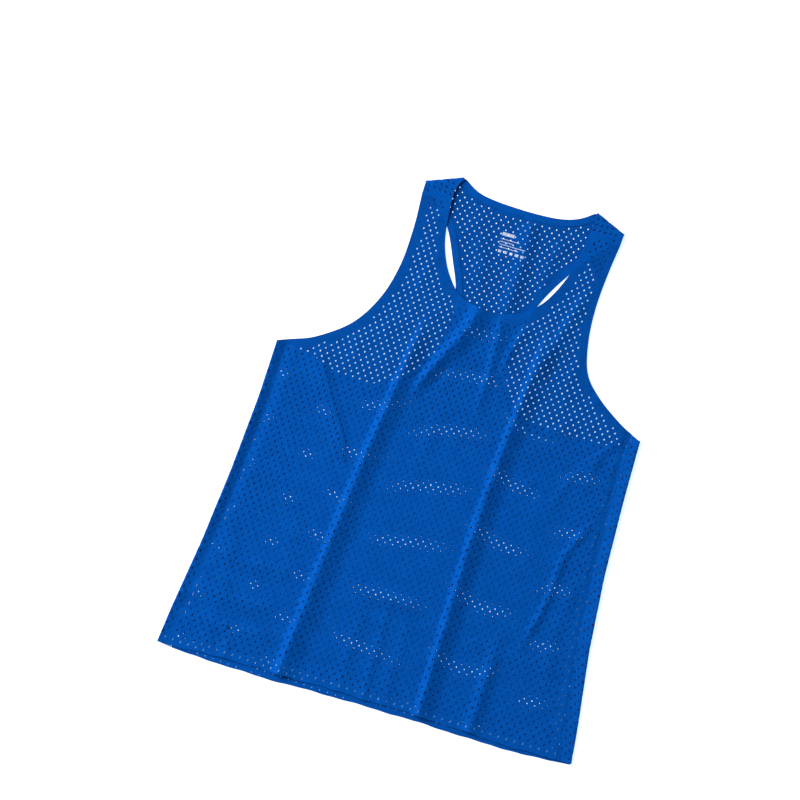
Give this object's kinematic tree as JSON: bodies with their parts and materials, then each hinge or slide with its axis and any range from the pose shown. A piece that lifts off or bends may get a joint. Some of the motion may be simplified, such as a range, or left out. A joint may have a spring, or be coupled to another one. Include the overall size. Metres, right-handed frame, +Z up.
{
  "type": "running singlet",
  "caption": "Sleeveless running top of perforated knit with a scooped neck, deep armholes and a racer back, laid flat with its front up.",
  "frame": {"origin": "middle of the laid garment's box, on the surface that it lies on", "axes": "+Y from the hem to the neck, +X to the right of someone who looks down at the front with the neck away from them, +Z up from the surface"},
  "size_m": [0.5667, 0.708, 0.0104],
  "materials": {
    "mesh_knit": "matte perforated polyester knit with a faint sheen",
    "facing_knit": "matte polyester knit strip, bonded inside the edge"
  },
  "bodies": {
    "root": {"front_panel": "mesh_knit", "back_panel": "mesh_knit", "front_neck_facing": "facing_knit", "back_neck_facing": "facing_knit", "front_armhole_facing_left": "facing_knit", "front_armhole_facing_right": "facing_knit", "back_armhole_facing_left": "facing_knit", "back_armhole_facing_right": "facing_knit", "front_hem_facing": "facing_knit", "back_hem_facing": "facing_knit"}
  },
  "joints": []
}
